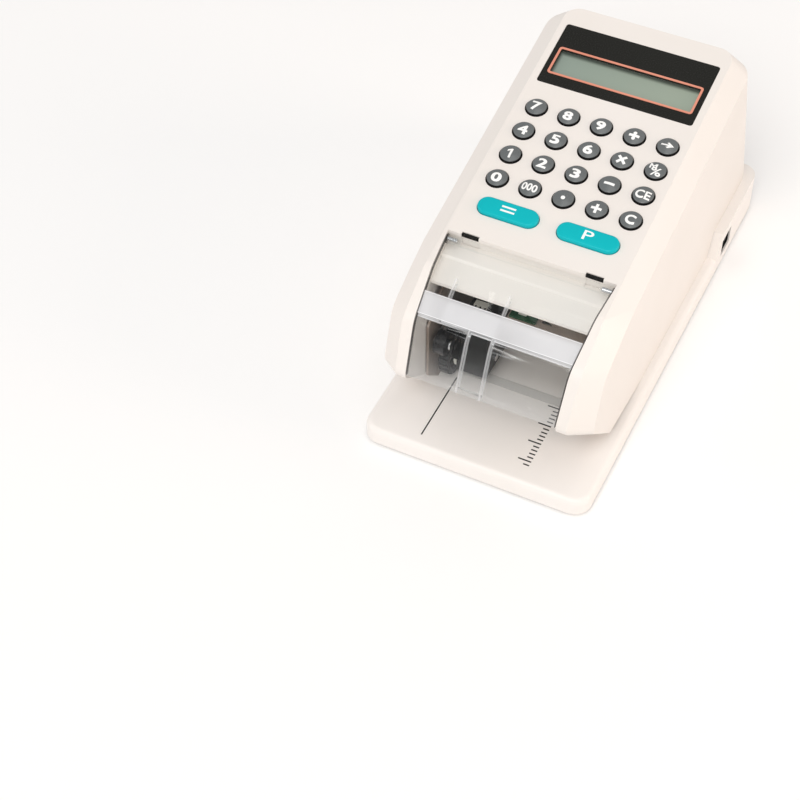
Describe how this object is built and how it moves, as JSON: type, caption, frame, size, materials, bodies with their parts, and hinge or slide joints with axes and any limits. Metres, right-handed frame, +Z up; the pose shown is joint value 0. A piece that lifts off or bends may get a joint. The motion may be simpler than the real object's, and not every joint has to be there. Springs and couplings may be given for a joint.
{
  "type": "check writer",
  "caption": "Desk check writer with a sloped keypad and display, a clear hinged nose cover over a printing carriage, and a flat bed with a throat for the check.",
  "frame": {"origin": "middle of the base on the table plane, under its rubber feet", "axes": "+X to the right seen from the keypad side, +Y from the front lip to the back, +Z up"},
  "size_m": [0.122, 0.257, 0.1253],
  "materials": {
    "cream_abs": "moulded, fine satin",
    "clear_acrylic": "clear moulded acrylic",
    "grey_key": "moulded, satin",
    "teal_key": "moulded, gloss",
    "display_black": "printed acrylic",
    "copper_line": "printed line",
    "lcd": "polariser over liquid crystal",
    "silicone": "moulded silicone",
    "foot_rubber": "moulded rubber",
    "board_green": "solder mask",
    "dark_plastic": "moulded, matte",
    "white_plastic": "moulded nylon",
    "zinc_sheet": "passivated steel sheet",
    "steel": "ground steel",
    "brass": "machined brass",
    "ink_foam": "inked foam"
  },
  "bodies": {
    "base": {"base_tray": "cream_abs", "bottom_plate": "cream_abs", "rubber_feet": "foot_rubber", "case_screws": "steel", "housing": "cream_abs", "hinge_pins": "steel", "display_panel": "display_black", "display_frame": "copper_line", "lcd_module": "lcd", "key_mat": "silicone", "keypad_board": "board_green", "board_screws": "steel", "main_board": "board_green", "board_parts": "dark_plastic", "frame_left": "zinc_sheet", "frame_right": "zinc_sheet", "cross_plate": "zinc_sheet", "link_board": "board_green", "link_sockets": "white_plastic", "guide_rods": "steel", "drive_belt": "foot_rubber", "drive_motor": "steel", "switch_frame": "dark_plastic", "power_jack": "dark_plastic"},
    "cover": {"window_cover": "clear_acrylic"},
    "carriage": {"carriage_box": "dark_plastic", "carriage_socket": "white_plastic", "type_motor": "steel", "ink_spindle": "steel"},
    "type_wheel": {"type_wheel": "dark_plastic", "type_gear": "white_plastic", "type_shaft": "steel"},
    "motor_pinion": {"motor_pinion": "brass"},
    "ink_roller": {"ink_roller": "ink_foam"},
    "drive_pulley": {"drive_pulley": "white_plastic"},
    "idler_pulley": {"idler_pulley": "white_plastic"},
    "platen": {"platen_bar": "silicone"},
    "rocker": {"switch_rocker": "dark_plastic"},
    "key_7": {"key_7": "grey_key"},
    "key_8": {"key_8": "grey_key"},
    "key_9": {"key_9": "grey_key"},
    "key_divide": {"key_divide": "grey_key"},
    "key_arrow": {"key_arrow": "grey_key"},
    "key_4": {"key_4": "grey_key"},
    "key_5": {"key_5": "grey_key"},
    "key_6": {"key_6": "grey_key"},
    "key_times": {"key_times": "grey_key"},
    "key_percent": {"key_percent": "grey_key"},
    "key_1": {"key_1": "grey_key"},
    "key_2": {"key_2": "grey_key"},
    "key_3": {"key_3": "grey_key"},
    "key_minus": {"key_minus": "grey_key"},
    "key_ce": {"key_ce": "grey_key"},
    "key_0": {"key_0": "grey_key"},
    "key_000": {"key_000": "grey_key"},
    "key_point": {"key_point": "grey_key"},
    "key_plus": {"key_plus": "grey_key"},
    "key_c": {"key_c": "grey_key"},
    "key_equals": {"key_equals": "teal_key"},
    "key_print": {"key_print": "teal_key"}
  },
  "joints": [
    {"name": "cover_hinge", "type": "hinge", "parent": "base", "child": "cover", "pos_m": [0, -0.06595, 0.09363], "axis": [-1, 0, 0], "range_deg": [0, 100]},
    {"name": "carriage_slide", "type": "slide", "parent": "base", "child": "carriage", "axis": [1, 0, 0], "range_m": [0, 0.05]},
    {"name": "type_spin", "type": "hinge", "parent": "carriage", "child": "type_wheel", "pos_m": [0, -0.0715, 0.0279], "axis": [1, 0, 0], "continuous": true},
    {"name": "pinion_spin", "type": "hinge", "parent": "carriage", "child": "motor_pinion", "pos_m": [0, -0.06356, 0.03844], "axis": [1, 0, 0], "continuous": true},
    {"name": "ink_spin", "type": "hinge", "parent": "carriage", "child": "ink_roller", "pos_m": [0, -0.08748, 0.04388], "axis": [1, 0, 0], "continuous": true},
    {"name": "drive_pulley_spin", "type": "hinge", "parent": "base", "child": "drive_pulley", "pos_m": [0.0328, -0.0393, 0.04], "axis": [0, 1, 0], "range_deg": [-1, 540]},
    {"name": "idler_pulley_spin", "type": "hinge", "parent": "base", "child": "idler_pulley", "pos_m": [-0.0328, -0.0393, 0.04], "axis": [0, 1, 0], "range_deg": [-1, 540]},
    {"name": "platen_lift", "type": "slide", "parent": "base", "child": "platen", "axis": [0, 0, 1], "range_m": [0, 0.0006]},
    {"name": "power_rocker", "type": "hinge", "parent": "base", "child": "rocker", "pos_m": [0.056, 0.076, 0.0126], "axis": [0, 0, -1], "range_deg": [0, 16]},
    {"name": "key_7_press", "type": "slide", "parent": "base", "child": "key_7", "axis": [0, -0.1805, 0.9836], "range_m": [-0.0015, 0], "stiffness_N_per_m": 400},
    {"name": "key_8_press", "type": "slide", "parent": "base", "child": "key_8", "axis": [0, -0.1805, 0.9836], "range_m": [-0.0015, 0], "stiffness_N_per_m": 400},
    {"name": "key_9_press", "type": "slide", "parent": "base", "child": "key_9", "axis": [0, -0.1805, 0.9836], "range_m": [-0.0015, 0], "stiffness_N_per_m": 400},
    {"name": "key_divide_press", "type": "slide", "parent": "base", "child": "key_divide", "axis": [0, -0.1805, 0.9836], "range_m": [-0.0015, 0], "stiffness_N_per_m": 400},
    {"name": "key_arrow_press", "type": "slide", "parent": "base", "child": "key_arrow", "axis": [0, -0.1805, 0.9836], "range_m": [-0.0015, 0], "stiffness_N_per_m": 400},
    {"name": "key_4_press", "type": "slide", "parent": "base", "child": "key_4", "axis": [0, -0.1805, 0.9836], "range_m": [-0.0015, 0], "stiffness_N_per_m": 400},
    {"name": "key_5_press", "type": "slide", "parent": "base", "child": "key_5", "axis": [0, -0.1805, 0.9836], "range_m": [-0.0015, 0], "stiffness_N_per_m": 400},
    {"name": "key_6_press", "type": "slide", "parent": "base", "child": "key_6", "axis": [0, -0.1805, 0.9836], "range_m": [-0.0015, 0], "stiffness_N_per_m": 400},
    {"name": "key_times_press", "type": "slide", "parent": "base", "child": "key_times", "axis": [0, -0.1805, 0.9836], "range_m": [-0.0015, 0], "stiffness_N_per_m": 400},
    {"name": "key_percent_press", "type": "slide", "parent": "base", "child": "key_percent", "axis": [0, -0.1805, 0.9836], "range_m": [-0.0015, 0], "stiffness_N_per_m": 400},
    {"name": "key_1_press", "type": "slide", "parent": "base", "child": "key_1", "axis": [0, -0.1805, 0.9836], "range_m": [-0.0015, 0], "stiffness_N_per_m": 400},
    {"name": "key_2_press", "type": "slide", "parent": "base", "child": "key_2", "axis": [0, -0.1805, 0.9836], "range_m": [-0.0015, 0], "stiffness_N_per_m": 400},
    {"name": "key_3_press", "type": "slide", "parent": "base", "child": "key_3", "axis": [0, -0.1805, 0.9836], "range_m": [-0.0015, 0], "stiffness_N_per_m": 400},
    {"name": "key_minus_press", "type": "slide", "parent": "base", "child": "key_minus", "axis": [0, -0.1805, 0.9836], "range_m": [-0.0015, 0], "stiffness_N_per_m": 400},
    {"name": "key_ce_press", "type": "slide", "parent": "base", "child": "key_ce", "axis": [0, -0.1805, 0.9836], "range_m": [-0.0015, 0], "stiffness_N_per_m": 400},
    {"name": "key_0_press", "type": "slide", "parent": "base", "child": "key_0", "axis": [0, -0.1805, 0.9836], "range_m": [-0.0015, 0], "stiffness_N_per_m": 400},
    {"name": "key_000_press", "type": "slide", "parent": "base", "child": "key_000", "axis": [0, -0.1805, 0.9836], "range_m": [-0.0015, 0], "stiffness_N_per_m": 400},
    {"name": "key_point_press", "type": "slide", "parent": "base", "child": "key_point", "axis": [0, -0.1805, 0.9836], "range_m": [-0.0015, 0], "stiffness_N_per_m": 400},
    {"name": "key_plus_press", "type": "slide", "parent": "base", "child": "key_plus", "axis": [0, -0.1805, 0.9836], "range_m": [-0.0015, 0], "stiffness_N_per_m": 400},
    {"name": "key_c_press", "type": "slide", "parent": "base", "child": "key_c", "axis": [0, -0.1805, 0.9836], "range_m": [-0.0015, 0], "stiffness_N_per_m": 400},
    {"name": "key_equals_press", "type": "slide", "parent": "base", "child": "key_equals", "axis": [0, -0.1805, 0.9836], "range_m": [-0.0015, 0], "stiffness_N_per_m": 400},
    {"name": "key_print_press", "type": "slide", "parent": "base", "child": "key_print", "axis": [0, -0.1805, 0.9836], "range_m": [-0.0015, 0], "stiffness_N_per_m": 400}
  ],
  "couplings": [
    {"joint": "pinion_spin", "follows": "type_spin", "ratio": -2.6667},
    {"joint": "ink_spin", "follows": "type_spin", "ratio": -2.5397},
    {"joint": "drive_pulley_spin", "follows": "carriage_slide", "rad_per_m": 181.82},
    {"joint": "idler_pulley_spin", "follows": "carriage_slide", "rad_per_m": 181.82}
  ]
}
